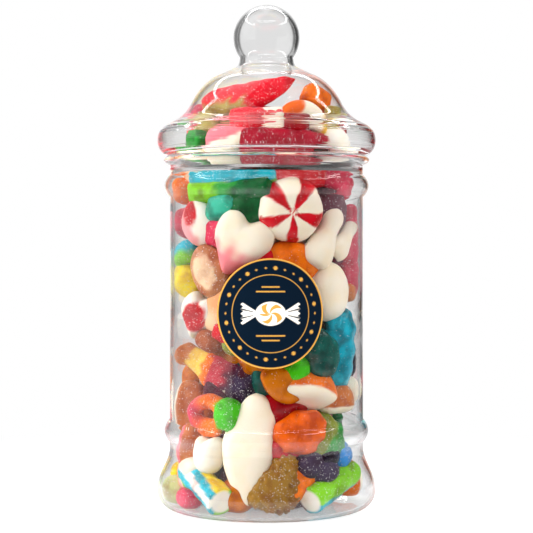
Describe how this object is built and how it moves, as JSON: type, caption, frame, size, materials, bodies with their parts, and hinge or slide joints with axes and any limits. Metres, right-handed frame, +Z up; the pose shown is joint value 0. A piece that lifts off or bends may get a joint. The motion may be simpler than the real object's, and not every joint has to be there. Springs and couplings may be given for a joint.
{
  "type": "jar of jelly sweets",
  "caption": "Clear round jar with moulded rings, a domed lid with a ball knob and a round label, filled with a mixed heap of jelly and foam sweets.",
  "frame": {"origin": "centre of the jar's foot, on the surface it stands on", "axes": "+Z up along the jar's axis, -Y towards the label on the front, +X to the label's right as seen from the front"},
  "size_m": [0.1002, 0.1002, 0.2308],
  "materials": {
    "jar_plastic": "clear polished plastic",
    "lid_plastic": "clear polished plastic",
    "label_print": "satin printed sticker, navy with gold",
    "sweets": "mixed colours, sugared jelly and cream foam"
  },
  "bodies": {
    "root": {"jar": "jar_plastic", "lid": "lid_plastic", "label": "label_print", "sweets": "sweets"}
  },
  "joints": []
}
